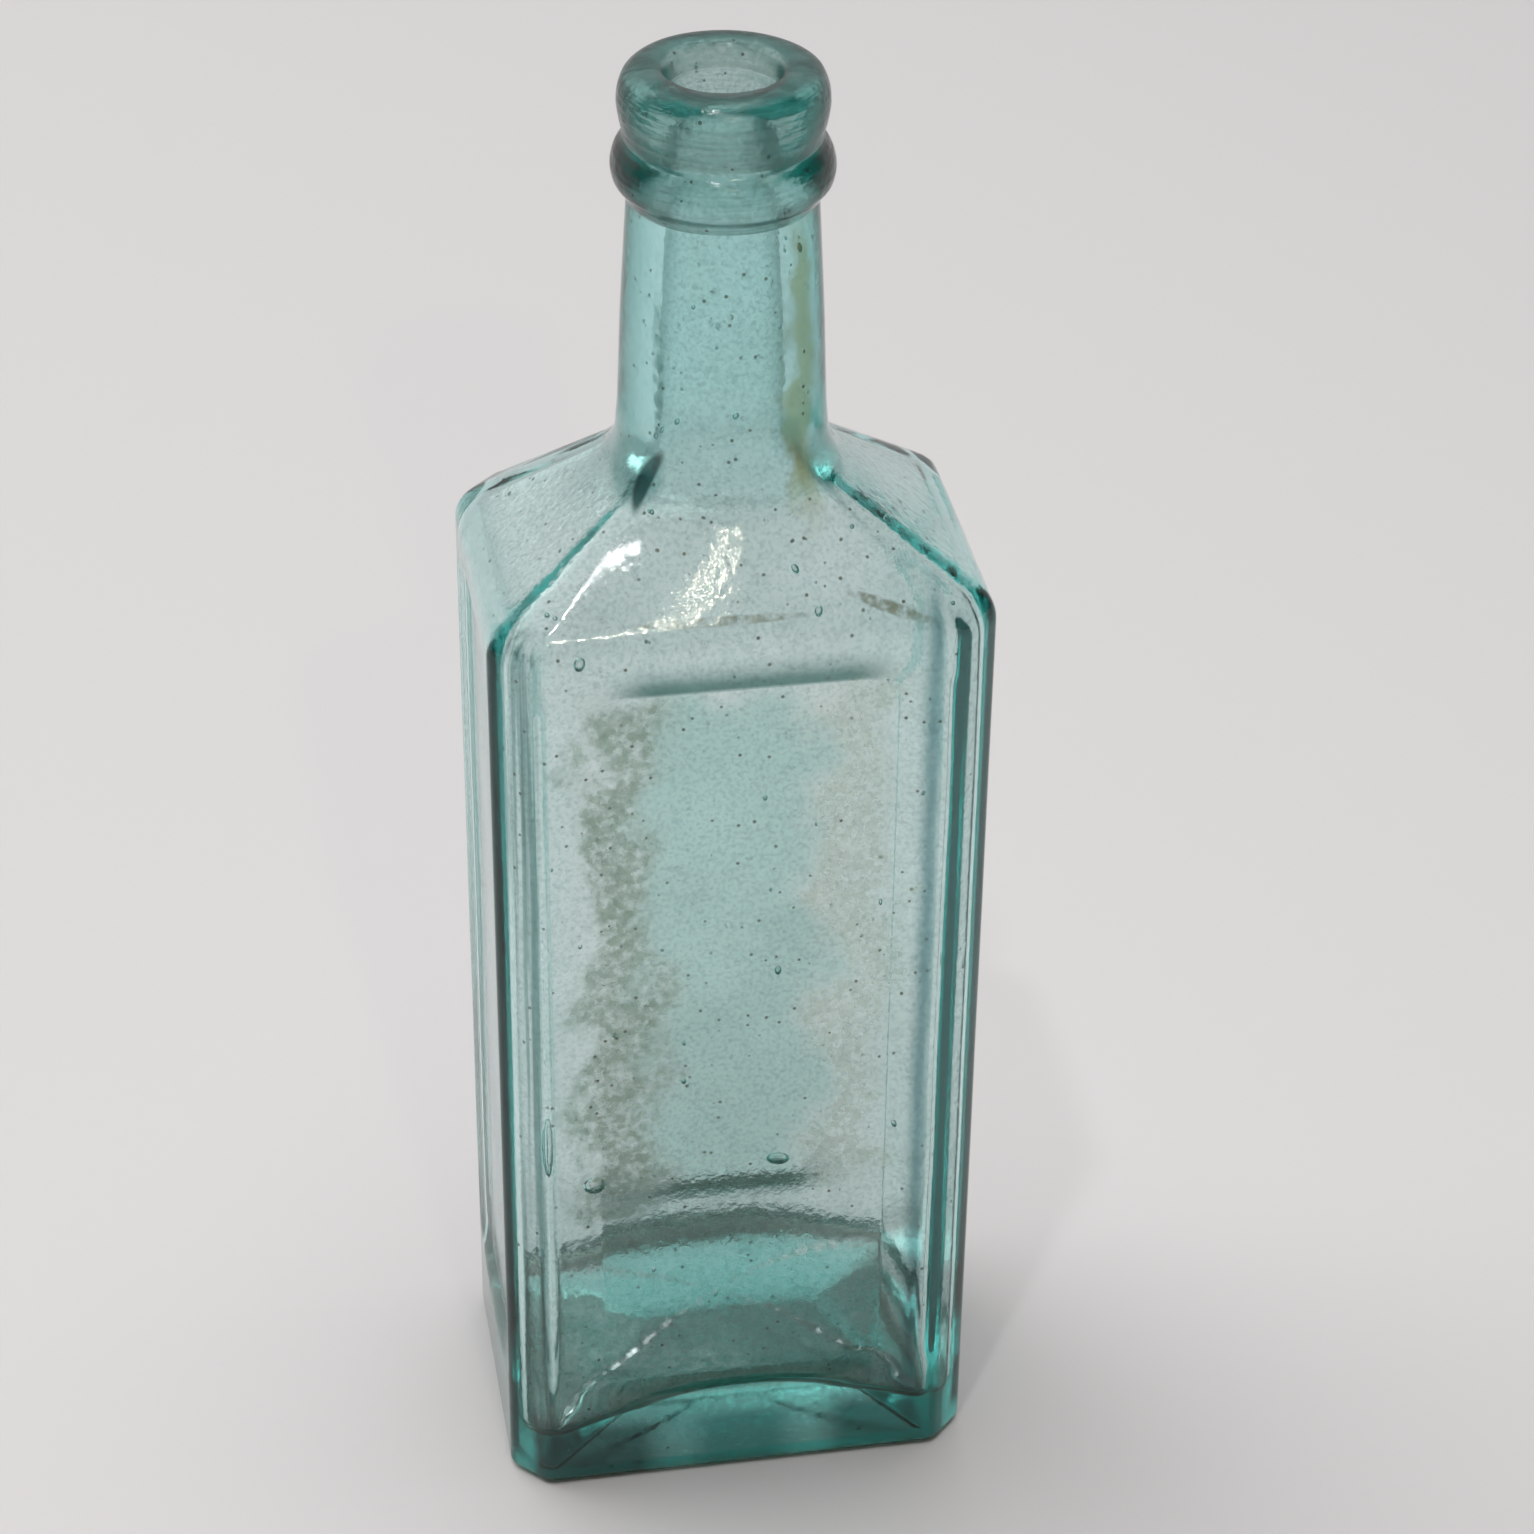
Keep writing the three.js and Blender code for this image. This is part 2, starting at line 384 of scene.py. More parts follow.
@dataclass(frozen=True)
class BodyRows:
    """Where the columns and rows of the body's mesh lie: millimetres, or shares of a run."""

    narrow: tuple[float, ...] = (
        0, 1.8, 3.6, 5.4, 7.2, 8.8, 10, 10.7, 11.1, 11.4, 11.8, 12.3, 12.9, 13.9, 15, 16.2, 17.3,
    )
    wide: tuple[float, ...] = (
        0, 2, 4, 6, 8, 10, 12, 14, 16, 17.8, 19.2, 20.1, 20.5, 20.8, 21.2, 21.7, 22.3, 23.3, 24.5, 26, 27.4,
    )
    ridge: tuple[float, ...] = (0.35, 0.7, 0.94)
    hip: tuple[float, ...] = (0, 0.03, 0.2, 0.4, 0.6, 0.8, 0.97, 1)
    rim: tuple[float, ...] = (0.03, 0.3, 0.6, 0.9)
    heel_turns: int = 8
    heel: tuple[float, ...] = (2.6, 4.5, 7, 10, 12.5, 13.6)
    panel_edge: tuple[float, ...] = (0, 0.3, 0.7, 1.2, 1.8, 2.6, 3.6)
    panel_crease: tuple[float, ...] = (0.35, 1, 2.2)
    panel_margin: float = 5.0
    panel_count: int = 30
    below_shoulder: tuple[float, ...] = (141, 141.8)
    bend_steps: int = 9
    slope_steps: int = 11
    neck_steps: int = 5
    seat: tuple[float, ...] = (0.02, 0.25, 0.5, 0.75, 0.98, 1)
    seat_top: tuple[float, ...] = (0.03, 0.5, 0.97, 1)
    bore_count: int = 22
    bore_ends: Pair = (0.2, 1.0)
    bowl_top: tuple[float, ...] = (140, 139, 138, 137, 136, 134.5, 132.5)
    bowl_margin: float = 7.0
    bowl_foot: tuple[float, ...] = (0.33, 0.66)
    bowl_turns: int = 9
    floor: tuple[float, ...] = (0.93, 0.84, 0.74, 0.63, 0.52, 0.41, 0.3, 0.2, 0.1, 0.02)


@dataclass(frozen=True)
class StrayRange:
    """How many small bubbles lie at random in the glass, where, and of what size in millimetres."""

    count: int = 120
    random_seed: int = 7
    through: Pair = (0.3, 0.7)
    across: float = 27.0
    below_skin: float = 1.2
    wall_heights: Pair = (22, 140)
    shoulder_ends: tuple[int, int] = (3, 6)
    neck_heights: Pair = (168, 196)
    least: float = 0.12
    growth: float = 0.3
    flatness: float = 0.8
    stretch: Pair = (1, 2.2)
    lean: float = 25.0


@dataclass
class BottleBody:
    """The blown body, shoulder and neck: one gather of glass."""

    outline: Oblong = Oblong(34.3, 24.5, 4.9, 2.6)
    ridge_round: float = 4.5
    ridge_ease: float = 4.0
    wall: float = 3.3
    inner_cut: float = 3.2
    inner_fillet: float = 3.5
    heel_radius: float = 1.6
    rest_rim: float = 4.0
    push_up: float = 7.0
    ridge_half: float = 0.4
    ridge_shift: float = 1.9
    mitre_cut: float = 0.4
    mitre_taper: float = 0.25
    floor_thickness: float = 5.5
    floor_dome: float = 9.0
    floor_radius: float = 4.0
    panel_sweep: float = 4.0
    blown_sweep: float = 9.0
    blown_share: float = 0.35
    body_height: float = 145.5
    shoulder_rise: float = 15.8
    shoulder_radius: float = 6.5
    root_radius: float = 10.0
    inner_root_radius: float = 12.0
    root_neck_radius: float = 14.15
    bore_radius: float = 7.3
    root_bore: float = 8.4
    lip_foot: float = 198.3
    neck_end: float = 212.4
    neck_end_radius: float = 10.1
    neck_line: tuple[Pair, ...] = (
        (168.6, 13.95), (174.6, 13.73), (181.0, 13.5), (189.4, 13.05), (198.3, 12.55),
    )
    wide_panel: SunkPanel = SunkPanel(20.5, 18.0, 137.0, 1.6)
    narrow_panel: SunkPanel = SunkPanel(11.1, 18.0, 137.0, 1.2)
    outer_wave: float = 0.05
    inner_wave: float = 0.22
    wave_length: float = 16.0
    wave_stretch: float = 0.6
    inner_wave_shift: float = 50.0
    rows: BodyRows = BodyRows()
    stray: StrayRange = StrayRange()
    seeds: tuple[Seed, ...] = (
        Seed((-21.6, -22.2, 55.0), (1.7, 0.35, 1.5), 20),
        Seed((-28.2, -22.9, 63.5), (0.7, 0.3, 5.5)),
        Seed((5.1, -22.1, 56.5), (1.7, 0.4, 1.1), 12),
        Seed((4.7, -22.1, 90.0), (0.5, 0.3, 0.8)),
        Seed((30.6, -21.5, 88.0), (0.3, 0.3, 1.1)),
        Seed((-22.5, -22.6, 143.0), (0.8, 0.4, 1.0), 10),
        Seed((6.8, -18.2, 152.0), (0.5, 0.3, 0.9), -20),
        Seed((9.6, -20.4, 146.5), (0.6, 0.3, 0.9)),
    )

    def __post_init__(self) -> None:
        """Sets out the columns of the mesh and the inner outline."""
        self.columns = Columns(
            (*(place / self.outline.narrow_end for place in self.rows.narrow), 1.0),
            (*(place / self.outline.wide_end for place in self.rows.wide), 1.0),
        )
        inner = self.outline.inset(self.wall)
        self.inner = Oblong(inner.half_width, inner.half_depth, self.inner_cut, self.inner_fillet)
        self.slope = math.atan2(self.shoulder_rise, self.outline.half_width - self.root_neck_radius)
        self.half_turn = math.tan((math.pi / 2 - self.slope) / 2)

    def circle(self, shape: Oblong, radius: float, height: float) -> Ring:
        """A round ring whose points stand at the same angles as those of an outline.

        Args:
            shape: the outline.
            radius: radius of the ring.
            height: height of the ring.

        Returns:
            The ring.
        """
        return [
            Vector((point.x, point.y, 0)).normalized() * radius + Vector((0, 0, height))
            for point in self.columns.ring(shape, 0)
        ]

    def waved(self, ring: Ring, skin: Skin) -> Ring:
        """Lets the glass swell and thin a little, as blown glass does.

        Args:
            ring: even ring.
            skin: which surface it belongs to.

        Returns:
            The ring moved in and out.
        """
        size = self.outer_wave if skin is Skin.OUTER else self.inner_wave
        shift = 0.0 if skin is Skin.OUTER else self.inner_wave_shift
        moved = []
        for point in ring:
            place = Vector((point.x, point.y, point.z * self.wave_stretch + shift)) / self.wave_length
            outward = Vector((point.x, point.y, 0)).normalized()
            moved.append(point + outward * size * noise.noise(place))
        return moved

    def walled(self, shape: Oblong, height: float, skin: Skin) -> Ring:
        """A ring of the upright walls, sunk where the panels are.

        Args:
            shape: outline of the walls.
            height: height of the ring.
            skin: which surface it belongs to.

        Returns:
            The sunk ring.
        """
        ring = self.columns.ring(shape, height)
        for point in ring:
            on_wide = abs(point.x) <= shape.wide_end + TOUCH
            on_narrow = abs(point.y) <= shape.narrow_end + TOUCH
            if on_wide:
                point.y -= math.copysign(self.sink(self.wide_panel, point.x, height, skin), point.y)
            elif on_narrow:
                point.x -= math.copysign(self.sink(self.narrow_panel, point.y, height, skin), point.x)
        return ring

    def sink(self, panel: SunkPanel, along: float, height: float, skin: Skin) -> float:
        """How deep a panel lies at a place.

        Args:
            panel: the panel of that wall.
            along: distance of the place from the middle of the wall.
            height: height of the place.
            skin: which surface is asked for.

        Returns:
            The depth below the wall.
        """
        if skin is Skin.OUTER:
            return panel.mould_sink(along, height, self.panel_sweep)
        return self.blown_share * panel.blown_sink(along, height, self.blown_sweep)

    def shoulder_line(self, start: float, run: float, root_radius: float) -> list[Vector]:
        """The shoulder's line from a wall to the neck.

        Args:
            start: height of the corner between wall and shoulder.
            run: how far the line comes in.
            root_radius: rounding where it turns up into the neck.

        Returns:
            Places along it: how far in, and how high.
        """
        rise = run * math.tan(self.slope)
        along = Vector((math.cos(self.slope), math.sin(self.slope)))
        up = Vector((0, 1))
        low = Vector((0, start))
        high = Vector((run, start + rise))
        low_run = self.shoulder_radius * self.half_turn
        high_run = root_radius * self.half_turn
        first = bent_corner(low - up * low_run, low, low + along * low_run, self.rows.bend_steps)
        last = bent_corner(high - along * high_run, high, high + up * high_run, self.rows.bend_steps)
        straight = [first[-1].lerp(last[0], share) for share in spread(0, 1, self.rows.slope_steps)[1:-1]]
        return first + straight + last

    def shoulder(self, skin: Skin) -> list[Ring]:
        """Draws the shoulder from the walls to the neck.

        Args:
            skin: which surface is asked for.

        Returns:
            Its rings, from the lowest up.
        """
        outer = skin is Skin.OUTER
        shape = self.outline if outer else self.inner
        radius = self.root_neck_radius if outer else self.root_bore
        start = self.body_height - (0 if outer else self.wall * self.half_turn)
        run = shape.half_width - radius
        root_radius = self.root_radius if outer else self.inner_root_radius
        rings = []
        for place in self.shoulder_line(start, run, root_radius):
            share = place.x / run
            rounder = max(self.ridge_round, shape.fillet) - shape.fillet
            fillet = shape.fillet + rounder * smooth_step(share * self.ridge_ease)
            ridged = self.columns.ring(replace(shape, fillet=fillet), place.y)
            rings.append(self.waved(mix_rings(ridged, self.circle(shape, radius, place.y), share), skin))
        return rings

    def underside(self) -> Iterator[Ring]:
        """Rings of the hipped hollow under the base, from its ridge out to the rim."""
        rim = self.heel_radius + self.rest_rim
        slope = self.outline.half_depth - rim - self.ridge_half
        ridge_end = self.outline.half_width - rim - slope + self.ridge_shift
        shift = Vector((self.ridge_shift, 0, 0))
        for share in self.rows.ridge:
            cut = self.mitre_cut * share * self.mitre_taper
            ridge = Oblong(ridge_end * share, self.ridge_half * share, cut, 0)
            yield [point + shift for point in self.columns.ring(ridge, self.push_up)]
        for share in self.rows.hip:
            half_width = ridge_end + (slope - self.ridge_shift) * share
            cut = self.mitre_cut * (self.mitre_taper + (1 - self.mitre_taper) * share)
            hip = Oblong(half_width, self.ridge_half + slope * share, cut, 0)
            ring = self.columns.ring(hip, self.push_up * (1 - share))
            yield [point + shift * (1 - share) for point in ring]

    def rim(self) -> Iterator[Ring]:
        """Rings of the flat rim and the rounded heel, up to the foot of the walls."""
        rim = self.heel_radius + self.rest_rim
        hip = Oblong(self.outline.half_width - rim, self.outline.half_depth - rim, self.mitre_cut, 0)
        inside = self.columns.ring(hip, 0)
        outside = self.columns.ring(self.outline.inset(self.heel_radius), 0)
        for share in self.rows.rim:
            yield mix_rings(inside, outside, share)
        for turn in spread(0, math.pi / 2, self.rows.heel_turns):
            inset = self.outline.inset(self.heel_radius * (1 - math.sin(turn)))
            yield self.columns.ring(inset, self.heel_radius * (1 - math.cos(turn)))

    def outer_walls(self) -> Iterator[Ring]:
        """Rings of the outer walls between the heel and the shoulder."""
        rows = self.rows
        foot = self.wide_panel.foot
        head = self.wide_panel.head
        heights = [*rows.heel]
        heights += [foot - step for step in reversed(rows.panel_edge)]
        heights += [foot + step for step in rows.panel_crease]
        heights += spread(foot + rows.panel_margin, head - rows.panel_margin, rows.panel_count)
        heights += [head - step for step in reversed(rows.panel_crease)]
        heights += [head + step for step in rows.panel_edge]
        for height in [*heights, *rows.below_shoulder]:
            yield self.waved(self.walled(self.outline, height, Skin.OUTER), Skin.OUTER)

    def neck(self) -> Iterator[Ring]:
        """Rings of the neck's outside, up to the foot of the lip."""
        for place in curved_line(self.neck_line, self.rows.neck_steps):
            yield self.waved(self.circle(self.outline, place.y, place.x), Skin.OUTER)

    def seat(self) -> Iterator[Ring]:
        """Rings of the neck's end, which the lip is laid round."""
        for share in self.rows.seat:
            radius = self.neck_line[-1][1] + (self.neck_end_radius - self.neck_line[-1][1]) * share
            yield self.circle(self.outline, radius, self.lip_foot + (self.neck_end - self.lip_foot) * share)
        for share in self.rows.seat_top:
            radius = self.neck_end_radius + (self.bore_radius - self.neck_end_radius) * share
            yield self.circle(self.inner, radius, self.neck_end)

    def bore(self, bottom: float) -> Iterator[Ring]:
        """Rings of the bore, from the end of the neck down to its root.

        Args:
            bottom: height of the root inside.

        Yields:
            The rings, from the highest down.
        """
        upper, lower = self.rows.bore_ends
        for height in spread(self.neck_end - upper, bottom + lower, self.rows.bore_count):
            share = smooth_step((self.lip_foot - height) / (self.lip_foot - bottom))
            radius = self.bore_radius + (self.root_bore - self.bore_radius) * share
            yield self.waved(self.circle(self.inner, radius, height), Skin.INNER)

    def floor_height(self, point: Vector) -> float:
        """Height of the floor inside: low in the corners, where the breath thins the glass most."""
        reach = (self.outline.half_width + self.outline.half_depth - self.outline.cut) / SQRT2 - self.wall
        return self.floor_thickness + self.floor_dome * (1 - (math.hypot(point.x, point.y) / reach) ** 2)

    def on_floor(self, ring: Ring) -> Ring:
        """Raises a ring by the height of the floor under each point."""
        return [point + Vector((0, 0, self.floor_height(point))) for point in ring]

    def bowl(self) -> Iterator[Ring]:
        """Rings of the inner walls and the floor, from the shoulder down."""
        foot = self.wide_panel.foot
        head = self.wide_panel.head
        low = foot + self.rows.panel_margin
        wall_heights = spread(head - self.rows.bowl_margin, low, self.rows.panel_count)
        for height in [*self.rows.bowl_top, *wall_heights]:
            yield self.waved(self.walled(self.inner, height, Skin.INNER), Skin.INNER)
        turns = spread(math.pi / 2, 0, self.rows.bowl_turns)
        bowl = [
            self.on_floor(self.columns.ring(self.inner.inset(self.floor_radius * (1 - math.sin(turn))),
                                            self.floor_radius * (1 - math.cos(turn))))
            for turn in turns
        ]
        wall = self.walled(self.inner, low, Skin.INNER)
        for share in self.rows.bowl_foot:
            yield self.waved(mix_rings(wall, bowl[0], share), Skin.INNER)
        for ring in bowl:
            yield self.waved(ring, Skin.INNER)
        flat = self.columns.ring(self.inner.inset(self.floor_radius), 0)
        for share in self.rows.floor:
            yield self.on_floor([Vector((point.x * share, point.y * share, 0)) for point in flat])

    def strays(self) -> Iterator[Seed]:
        """Small bubbles at random in the walls, the shoulder and the neck."""
        stray = self.stray
        dice = random.Random(stray.random_seed)
        outer = self.shoulder(Skin.OUTER)
        inner = self.shoulder(Skin.INNER)
        first_row, last_rows = stray.shoulder_ends
        for number in range(stray.count):
            share = dice.uniform(*stray.through)
            if number % 3 == 0:
                across = dice.uniform(-stray.across, stray.across)
                depth = self.outline.half_depth - self.wide_panel.depth - stray.below_skin - share
                place = Vector((across, dice.choice((-1, -1, 1)) * depth, dice.uniform(*stray.wall_heights)))
            elif number % 3 == 1:
                row = dice.randrange(first_row, len(outer) - last_rows)
                column = dice.randrange(self.columns.count)
                place = outer[row][column].lerp(inner[row][column], share)
            else:
                angle = dice.uniform(0, 2 * math.pi)
                radius = self.root_bore + (self.root_neck_radius - self.root_bore) * share
                height = dice.uniform(*stray.neck_heights)
                place = Vector((radius * math.cos(angle), radius * math.sin(angle), height))
            size = stray.least + stray.growth * dice.random() ** 2
            half = (size, size * stray.flatness, size * dice.uniform(*stray.stretch))
            yield Seed(tuple(place), half, dice.uniform(-stray.lean, stray.lean))

    def mesh(self) -> bmesh.types.BMesh:
        """Grows the skin from the ridge under the base, up the outside and down the inside to the floor.

        Returns:
            The closed skin with its faces pointing out of the glass.
        """
        loft = SkinLoft(self.columns.count)
        under = list(self.underside())
        loft.place(under[0])
        first = list(loft.verts)
        inner_shoulder = self.shoulder(Skin.INNER)
        loft.grow(under[1:])
        loft.grow(self.rim())
        loft.grow(self.outer_walls())
        loft.grow(self.shoulder(Skin.OUTER))
        loft.grow(self.neck())
        loft.grow(self.seat(), fused=True)
        loft.grow(self.bore(inner_shoulder[-1][0].z))
        loft.grow(reversed(inner_shoulder))
        loft.grow(self.bowl())
        loft.close(loft.verts, Vector((0, 0, self.floor_thickness + self.floor_dome)))
        loft.close(first, Vector((self.ridge_shift, 0, self.push_up)))
        bmesh.ops.recalc_face_normals(loft.bm, faces=loft.bm.faces)
        self.add_seeds(loft.bm)
        return loft.bm

    def add_seeds(self, bm: bmesh.types.BMesh) -> None:
        """Adds all bubbles to the glass, each skin facing into its bubble.

        Args:
            bm: the closed skin of the body.
        """
        bubbles = bmesh.new()
        for seed in [*self.strays(), *self.seeds]:
            seed.blow(bubbles)
        bmesh.ops.reverse_faces(bubbles, faces=bubbles.faces)
        mesh = bpy.data.meshes.new("seeds")
        bubbles.to_mesh(mesh)
        bubbles.free()
        bm.from_mesh(mesh)
        bpy.data.meshes.remove(mesh)

    def build(self, material: bpy.types.Material) -> bpy.types.Object:
        """Makes the body's object.

        Args:
            material: finish of the glass.

        Returns:
            The object, linked to the scene.
        """
        return finished_object("blown_body", self.mesh(), material)


@dataclass
class AppliedLip:
    """The tooled lip: a sharp collar below a round bead, turned round the mouth."""

    body: BottleBody
    fuse_gap: float = 0.05
    segments: int = 160
    unevenness: float = 0.22
    tool_mark: float = 0.05
    around_scale: float = 1.3
    around_height: float = 9.0
    mark_scale: float = 0.7
    mark_height: float = 1.1
    mark_shift: float = 5.0
    profile_steps: int = 5
    seat_middle: float = 9.0
    seat_rows: tuple[float, ...] = (0.3, 0.6, 0.95)
    bore_margin: float = 0.02
    cone_margin: float = 2.5
    profile: tuple[Pair, ...] = (
        (12.62, 198.3), (13.5, 199.75), (14.3, 200.9), (14.62, 202.8), (14.1, 204.9), (13.1, 206.4),
        (13.0, 207.2), (13.45, 208.9), (13.73, 211.2), (13.5, 213.2), (12.8, 214.9), (11.7, 215.75),
        (10.4, 216.0), (9.0, 215.97), (8.1, 215.75), (7.5, 215.2), (7.3, 214.4), (7.3, 212.45),
    )

    def mesh(self) -> bmesh.types.BMesh:
        """Spins the profile round the axis.

        Returns:
            The closed ring of glass with its faces pointing out.
        """
        bm = bmesh.new()
        fused = bm.faces.layers.float.new(SEAM)
        seat_top = self.body.neck_end + self.fuse_gap
        seat_corner = Vector((self.body.neck_end_radius + self.fuse_gap, seat_top))
        seat_middle = Vector((self.seat_middle, seat_top))
        line = [*curved_line(self.profile, self.profile_steps), seat_middle, seat_corner]
        foot = line[0]
        line += [seat_corner.lerp(foot, share) for share in self.seat_rows]
        verts = [bm.verts.new((place.x * MM, 0, place.y * MM)) for place in line]
        edges = [bm.edges.new((start, end)) for start, end in zip(verts, verts[1:] + verts[:1])]
        bmesh.ops.spin(bm, geom=verts + edges, cent=(0, 0, 0), axis=(0, 0, 1), dvec=(0, 0, 0),
                       angle=2 * math.pi, steps=self.segments, use_merge=True)
        bmesh.ops.recalc_face_normals(bm, faces=bm.faces)
        for face in bm.faces:
            face[fused] = float(self.in_seam(face.calc_center_median() / MM))
        for vert in bm.verts:
            if not any(face[fused] for face in vert.link_faces):
                vert.co = self.tooled(vert.co / MM) * MM
        return bm

    def tooled(self, point: Vector) -> Vector:
        """Moves a place on the lip in or out, as the turning tool left it.

        Args:
            point: even place in millimetres.

        Returns:
            The moved place.
        """
        outward = Vector((point.x, point.y, 0)).normalized()
        around = noise.noise(outward * self.around_scale + Vector((0, 0, point.z / self.around_height)))
        mark_place = Vector((self.mark_shift, 0, point.z / self.mark_height))
        across = noise.noise(outward * self.mark_scale + mark_place)
        return point + outward * (self.unevenness * around + self.tool_mark * across)

    def in_seam(self, point: Vector) -> bool:
        """Tells whether a place lies on the seat that is fused to the neck.

        Args:
            point: place in millimetres.

        Returns:
            True on the seat.
        """
        radius = math.hypot(point.x, point.y)
        top = self.body.neck_end + 2 * self.fuse_gap
        neck = self.body.neck_line[-1][1]
        share = (point.z - self.body.lip_foot) / (self.body.neck_end - self.body.lip_foot)
        cone = neck + (self.body.neck_end_radius - neck) * share
        outside = cone + self.cone_margin * self.fuse_gap
        return point.z < top and self.body.bore_radius + self.bore_margin < radius < outside

    def build(self, material: bpy.types.Material) -> bpy.types.Object:
        """Makes the lip's object.

        Args:
            material: finish of the glass.

        Returns:
            The object, linked to the scene.
        """
        return finished_object("tooled_lip", self.mesh(), material)


@dataclass
class NodeCanvas:
    """A node tree with short ways to add and wire its nodes."""

    tree: bpy.types.NodeTree

    def add(self, kind: str, **settings: object) -> bpy.types.Node:
        """Adds a node.

        Args:
            kind: Blender's name for the node.
            settings: properties to set on it.

        Returns:
            The node.
        """
        node = self.tree.nodes.new(kind)
        for name, value in settings.items():
            setattr(node, name, value)
        return node

    def feed(self, socket: Socket, value: Source) -> None:
        """Links a socket to an output, or sets its own value.

        Args:
            socket: input to feed.
            value: an output, or a plain value.
        """
        if isinstance(value, Socket):
            self.tree.links.new(value, socket)
        else:
            socket.default_value = value

    def math(self, operation: str, *values: Source) -> Socket:
        """Adds a Math node.

        Args:
            operation: what it works out.
            values: its inputs, in order.

        Returns:
            The result.
        """
        node = self.add("ShaderNodeMath", operation=operation)
        for socket, value in zip(node.inputs, values):
            self.feed(socket, value)
        return node.outputs[0]

    def ease(self, value: Source, start: float, end: float) -> Socket:
        """Eases a value from 0 to 1.

        Args:
            value: what is eased.
            start: value that gives 0.
            end: value that gives 1.

        Returns:
            The result.
        """
        node = self.add("ShaderNodeMapRange", interpolation_type="SMOOTHSTEP")
        self.feed(node.inputs["Value"], value)
        self.feed(node.inputs["From Min"], start)
        self.feed(node.inputs["From Max"], end)
        return node.outputs["Result"]

    def noise(self, place: Source, scale: float, detail: float) -> Socket:
        """Adds a Noise Texture.

        Args:
            place: where the noise is read.
            scale: how fine it is.
            detail: how many finer layers it has.

        Returns:
            The noise.
        """
        node = self.add("ShaderNodeTexNoise")
        self.feed(node.inputs["Vector"], place)
        self.feed(node.inputs["Scale"], scale)
        self.feed(node.inputs["Detail"], detail)
        return node.outputs["Fac"]

    def stretched(self, place: Source, scale: Triple) -> Socket:
        """Adds a Mapping node that stretches a place.

        Args:
            place: place to stretch.
            scale: what each axis is multiplied by.

        Returns:
            The stretched place.
        """
        node = self.add("ShaderNodeMapping")
        self.feed(node.inputs["Vector"], place)
        self.feed(node.inputs["Scale"], scale)
        return node.outputs[0]

    def blend(self, share: Source, first: Source, second: Source, way: str = "MIX") -> Socket:
        """Mixes two colours.

        Args:
            share: how much of the second goes in.
            first: colour at share 0.
            second: colour that is mixed in.
            way: Blender's name for the mix.

        Returns:
            The mixed colour.
        """
        node = self.add("ShaderNodeMix", data_type="RGBA", blend_type=way)
        self.feed(node.inputs[0], share)
        self.feed(node.inputs[6], first)
        self.feed(node.inputs[7], second)
        return node.outputs[2]


@dataclass(frozen=True)
class Cloud:
    """A cloudy pattern: its scale and detail, and the noise values between which it grows from 0 to 1."""

    scale: float
    detail: float
    start: float = 0.0
    end: float = 1.0

    def value(self, canvas: NodeCanvas, place: Source) -> Socket:
        """The bare noise."""
        return canvas.noise(place, self.scale, self.detail)

    def mask(self, canvas: NodeCanvas, place: Source) -> Socket:
        """The noise, eased to run from 0 to 1."""
        return canvas.ease(self.value(canvas, place), self.start, self.end)


@dataclass(frozen=True)
class GlassAge:
    """The marks that all of the old glass shares: dark specks, a thin film, a fine grain and fine pebbles."""

    speck_scale: float = 420.0
    speck_pick: float = 7.0
    speck_kept: Pair = (0.5, 0.58)
    speck_size: Pair = (0.14, 0.08)
    film: Cloud = Cloud(70.0, 6.0, 0.2, 0.75)
    grain: Cloud = Cloud(1500.0, 3.0, 0.5, 0.62)
    pebbles: Cloud = Cloud(700.0, 4.0)

    def group(self) -> bpy.types.NodeTree:
        """Makes the node group.

        Returns:
            A group that takes a place and gives the masks of the marks and the height of the pebbles.
        """
        tree = bpy.data.node_groups.new("glass_age", "ShaderNodeTree")
        tree.interface.new_socket("Place", in_out="INPUT", socket_type="NodeSocketVector")
        for name in ("Speck", "Film", "Grain", "Height"):
            tree.interface.new_socket(name, in_out="OUTPUT", socket_type="NodeSocketFloat")
        canvas = NodeCanvas(tree)
        place = canvas.add("NodeGroupInput").outputs["Place"]
        result = canvas.add("NodeGroupOutput")
        cells = canvas.add("ShaderNodeTexVoronoi")
        canvas.feed(cells.inputs["Vector"], place)
        canvas.feed(cells.inputs["Scale"], self.speck_scale)
        drawn = canvas.math("FRACT", canvas.math("MULTIPLY", cells.outputs["Color"], self.speck_pick))
        dot = canvas.ease(cells.outputs["Distance"], *self.speck_size)
        kept = canvas.ease(drawn, *self.speck_kept)
        canvas.feed(result.inputs["Speck"], canvas.math("MULTIPLY", dot, kept))
        canvas.feed(result.inputs["Film"], self.film.mask(canvas, place))
        canvas.feed(result.inputs["Grain"], self.grain.mask(canvas, place))
        canvas.feed(result.inputs["Height"], self.pebbles.value(canvas, place))
        return tree


@dataclass(frozen=True)
class Mark:
    """A mark on the glass: where it is, how it tints the light, and how much rougher it is."""

    mask: Socket
    tint: Colour
    roughness: float = 0.0


@dataclass(frozen=True)
class Spot:
    """Where a point of the surface lies, as sockets in metres, and how far it turns away from the eye."""

    place: Socket
    x: Socket
    y: Socket
    z: Socket
    slant: Socket


@dataclass(frozen=True)
class Span:
    """A stretch along one axis in metres, with a soft run at each end."""

    low: float
    high: float
    low_soft: float = 0.001
    high_soft: float = 0.001

    def mask(self, canvas: NodeCanvas, value: Source) -> Socket:
        """Masks the stretch.

        Args:
            canvas: node tree of the material.
            value: place along the axis.

        Returns:
            1 inside the stretch and 0 beyond its soft ends.
        """
        above = canvas.ease(value, self.low - self.low_soft, self.low + self.low_soft)
        below = canvas.ease(value, self.high + self.high_soft, self.high - self.high_soft)
        return canvas.math("MULTIPLY", above, below)


